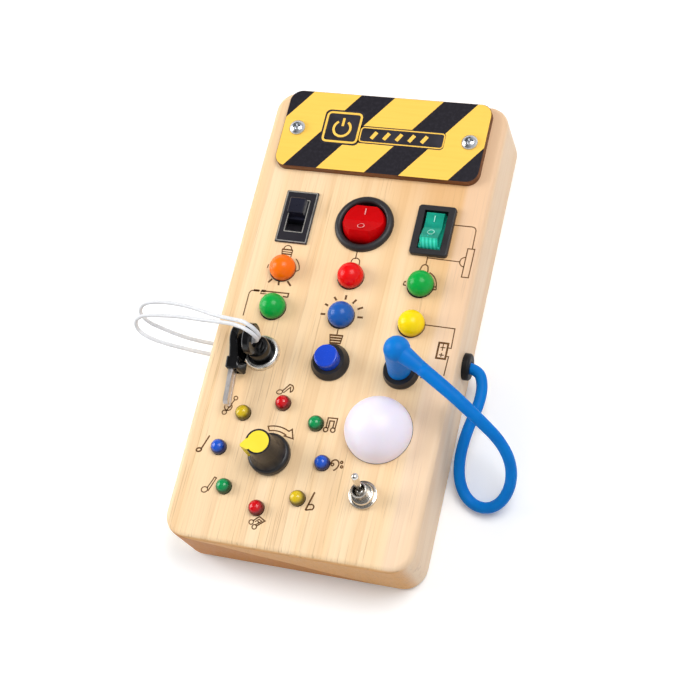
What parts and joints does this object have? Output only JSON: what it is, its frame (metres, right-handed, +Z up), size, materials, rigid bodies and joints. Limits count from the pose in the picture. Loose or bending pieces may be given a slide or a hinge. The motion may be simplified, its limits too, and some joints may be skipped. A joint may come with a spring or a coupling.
{
  "type": "wooden busy board",
  "caption": "Hand-held wooden play board with toggle, rocker and slide switches, coloured lamps, a turning knob, a push button, a key lock and a plug on a short lead.",
  "frame": {"origin": "centre of the underside of the board, which lies on a surface", "axes": "+Z up out of the play face, +Y along the board towards the striped sign, +X to the side that the lead leaves"},
  "size_m": [0.1617, 0.19, 0.0528],
  "materials": {
    "pine": "sanded pine",
    "cover_board": "thin plywood",
    "sign": "printed yellow and black",
    "black_plastic": "moulded",
    "steel": "bright plated",
    "zinc_steel": "zinc plated",
    "tinned": "tinned",
    "brass": "bare",
    "red_plastic": "translucent moulded",
    "teal_plastic": "translucent moulded",
    "blue_plastic": "moulded",
    "lens_orange": "diffused lens",
    "lens_red": "diffused lens",
    "lens_green": "diffused lens",
    "lens_blue": "diffused lens",
    "lens_yellow": "diffused lens",
    "opal": "opal lens",
    "circuit": "solder masked laminate",
    "spring_steel": "drawn wire",
    "blue_rubber": "soft vinyl",
    "black_rubber": "moulded",
    "white_cord": "braided",
    "yellow_plastic": "moulded",
    "cell_wrap": "sleeved"
  },
  "bodies": {
    "board": {"wooden_body": "pine", "back_cover": "cover_board", "back_screws": "zinc_steel", "sign_plate": "sign", "sign_screws": "steel", "slide_switch_plate": "steel", "slide_switch_body": "black_plastic", "round_rocker_housing": "black_plastic", "rect_rocker_housing": "black_plastic", "switch_terminals": "tinned", "large_lamp_orange": "lens_orange", "large_lamp_red": "lens_red", "large_lamps_green": "lens_green", "large_lamp_blue": "lens_blue", "large_lamp_yellow": "lens_yellow", "small_lamps_blue": "lens_blue", "small_lamps_green": "lens_green", "small_lamps_red": "lens_red", "small_lamps_yellow": "lens_yellow", "lamp_leads": "tinned", "lamp_circuit_board": "circuit", "music_circuit_board": "circuit", "push_button_bezel": "black_plastic", "push_button_spring": "spring_steel", "jack_socket": "black_plastic", "panel_nuts": "zinc_steel", "side_lead": "blue_rubber", "cable_grommet": "black_rubber", "key_lock_barrel": "black_plastic", "key_lock_ring": "steel", "spare_key_bow": "black_plastic", "spare_key_blade": "zinc_steel", "tether_upper": "white_cord", "tether_lower": "white_cord", "potentiometer_body": "zinc_steel", "potentiometer_nut": "zinc_steel", "dome_lens": "opal", "dome_base": "black_plastic", "toggle_switch_body": "steel", "toggle_switch_washer": "steel", "toggle_switch_nut": "steel", "battery_box": "black_plastic", "battery_cells": "cell_wrap", "battery_contacts": "tinned", "battery_door": "black_plastic"},
    "slide_knob": {"slide_switch_knob": "black_plastic"},
    "round_rocker": {"round_rocker_button": "red_plastic"},
    "rect_rocker": {"rect_rocker_button": "teal_plastic"},
    "push_cap": {"push_button_cap": "blue_plastic"},
    "plug": {"jack_plug_barrel": "steel", "jack_plug_grip": "blue_rubber", "plug_lead": "blue_rubber"},
    "lock_key": {"key_lock_cylinder": "black_plastic", "lock_key_bow": "black_plastic", "lock_key_blade": "zinc_steel", "tether_loop": "white_cord"},
    "knob": {"knob_body": "black_plastic", "knob_cap": "yellow_plastic", "potentiometer_shaft": "steel"},
    "toggle_lever": {"toggle_switch_lever": "steel"}
  },
  "joints": [
    {"name": "slide_switch_travel", "type": "slide", "parent": "board", "child": "slide_knob", "axis": [0, -1, 0], "range_m": [0, 0.0064]},
    {"name": "round_rocker_tilt", "type": "hinge", "parent": "board", "child": "round_rocker", "pos_m": [0.0008, 0.0384, 0.026], "axis": [1, 0, 0], "range_deg": [0, 24]},
    {"name": "rect_rocker_tilt", "type": "hinge", "parent": "board", "child": "rect_rocker", "pos_m": [0.0288, 0.0384, 0.026], "axis": [1, 0, 0], "range_deg": [0, 24]},
    {"name": "push_button_press", "type": "slide", "parent": "board", "child": "push_cap", "axis": [0, 0, -1], "range_m": [0, 0.003], "stiffness_N_per_m": 450, "springref_m": -0.0012, "deforming": ["push_button_spring"]},
    {"name": "plug_pull", "type": "slide", "parent": "board", "child": "plug", "axis": [0, 0, 1], "range_m": [0, 0.011]},
    {"name": "lock_key_turn", "type": "hinge", "parent": "board", "child": "lock_key", "pos_m": [-0.027, -0.0197, 0.027], "axis": [0, 0, -1], "range_deg": [0, 90]},
    {"name": "knob_turn", "type": "hinge", "parent": "board", "child": "knob", "pos_m": [-0.0135, -0.0591, 0.027], "axis": [0, 0, 1], "range_deg": [-170, 130]},
    {"name": "toggle_lever_swing", "type": "hinge", "parent": "board", "child": "toggle_lever", "pos_m": [0.0253, -0.0687, 0.0312], "axis": [1, 0, 0], "range_deg": [0, 24]}
  ]
}
